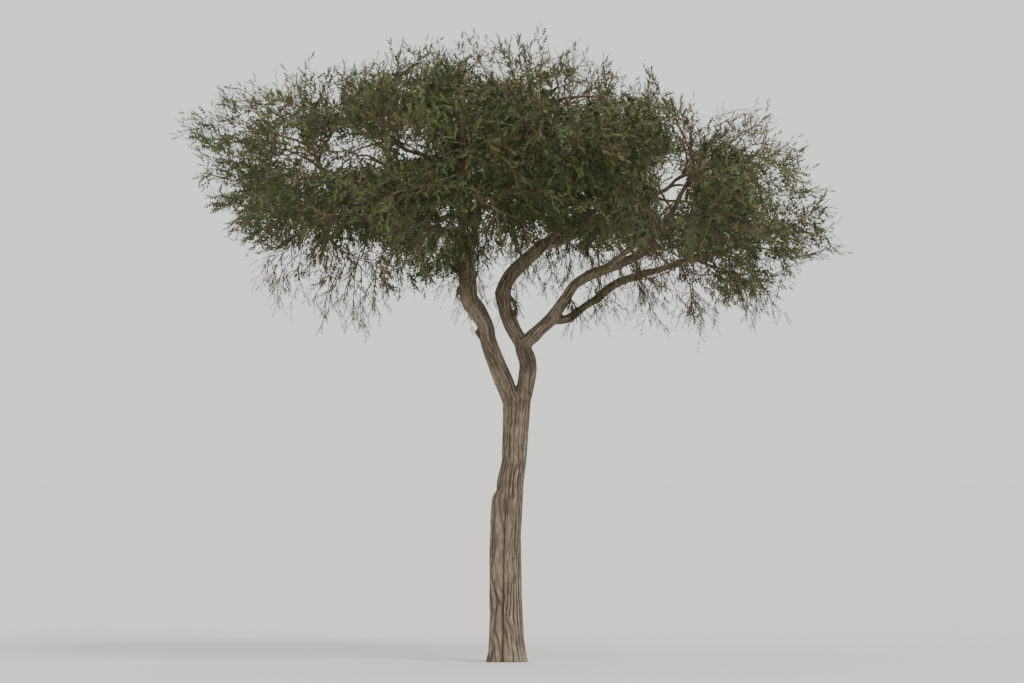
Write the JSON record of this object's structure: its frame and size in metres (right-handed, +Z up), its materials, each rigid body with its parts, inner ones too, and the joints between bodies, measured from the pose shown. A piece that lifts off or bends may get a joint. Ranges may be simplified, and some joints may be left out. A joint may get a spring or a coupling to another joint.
{
  "type": "acacia tree",
  "caption": "Whole flat-topped savanna tree: a leaning trunk that forks low, bare crooked boughs and a wide, shallow crown of small-leaved foliage.",
  "frame": {"origin": "on the flat cut at ground level under the trunk, the face of the mount named ground", "axes": "+Z up the tree, +X to the right of the tree as the picture shows it, +Y away from the viewer"},
  "size_m": [7.9348, 6.7882, 7.4833],
  "materials": {
    "bark": "rough, fissured grey-brown bark",
    "foliage": "matt dull olive-green small leaves"
  },
  "bodies": {
    "root": {"bough_back_high": "bark", "bough_back_low": "bark", "bough_crown_top": "bark", "bough_front_high": "bark", "bough_front_low": "bark", "bough_left_back_high": "bark", "bough_left_back_low": "bark", "bough_left_front_high": "bark", "bough_left_front_low": "bark", "bough_left_high": "bark", "bough_right_back_high": "bark", "bough_right_back_low": "bark", "bough_right_front_high": "bark", "bough_right_front_low": "bark", "bough_right_low": "bark", "foliage_back_high": "foliage", "foliage_back_low": "foliage", "foliage_crown_top": "foliage", "foliage_front_high": "foliage", "foliage_front_low": "foliage", "foliage_left_back_high": "foliage", "foliage_left_back_low": "foliage", "foliage_left_front_high": "foliage", "foliage_left_front_low": "foliage", "foliage_left_high": "foliage", "foliage_right_back_high": "foliage", "foliage_right_back_low": "foliage", "foliage_right_front_high": "foliage", "foliage_right_front_low": "foliage", "foliage_right_low": "foliage", "left_bough": "bark", "lower_right_bough": "bark", "middle_bough": "bark", "right_bough": "bark", "right_stem": "bark", "trunk": "bark", "upper_middle_bough": "bark"}
  },
  "joints": []
}
